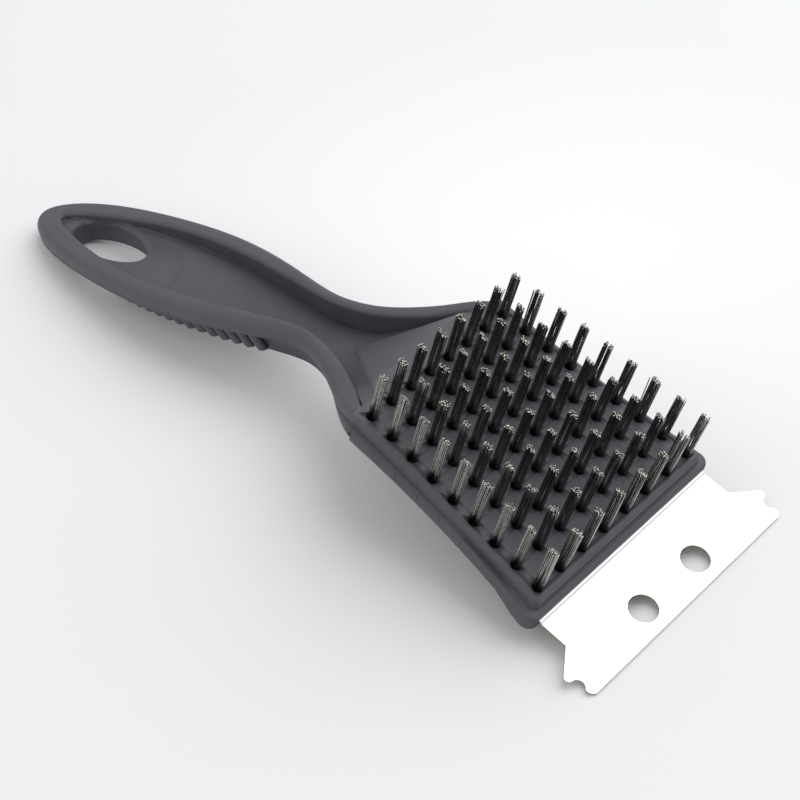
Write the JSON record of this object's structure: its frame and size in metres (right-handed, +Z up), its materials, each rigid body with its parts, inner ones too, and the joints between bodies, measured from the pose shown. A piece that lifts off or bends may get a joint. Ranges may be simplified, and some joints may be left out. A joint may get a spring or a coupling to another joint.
{
  "type": "grill cleaning brush",
  "caption": "Grill cleaning brush: looped plastic handle, angled head with folded steel wire tufts in rows, and a notched steel scraper plate at the front.",
  "frame": {"origin": "on the table, under the middle of the overall box: the brush lies bristles up on its scraper edge and the heel of its grip", "axes": "+X along the brush from handle tip to scraper edge, +Y across the head to the left seen from the handle, +Z up from the table"},
  "size_m": [0.2686, 0.085, 0.0549],
  "materials": {
    "body_plastic": "fine matte moulded, charcoal",
    "bristle_wire": "drawn stainless wire",
    "anchor_wire": "flat drawn wire",
    "scraper_steel": "bright rolled stainless sheet",
    "screw_steel": "plain zinc-plated"
  },
  "bodies": {
    "root": {"brush_body": "body_plastic", "scraper_blade": "scraper_steel", "scraper_screws": "screw_steel", "tuft_row_1": "bristle_wire", "tuft_row_2": "bristle_wire", "tuft_row_3": "bristle_wire", "tuft_row_4": "bristle_wire", "tuft_row_5": "bristle_wire", "tuft_row_6": "bristle_wire", "tuft_row_7": "bristle_wire", "tuft_row_8": "bristle_wire", "tuft_row_9": "bristle_wire", "anchor_row_1": "anchor_wire", "anchor_row_2": "anchor_wire", "anchor_row_3": "anchor_wire", "anchor_row_4": "anchor_wire", "anchor_row_5": "anchor_wire", "anchor_row_6": "anchor_wire", "anchor_row_7": "anchor_wire", "anchor_row_8": "anchor_wire", "anchor_row_9": "anchor_wire"}
  },
  "joints": []
}
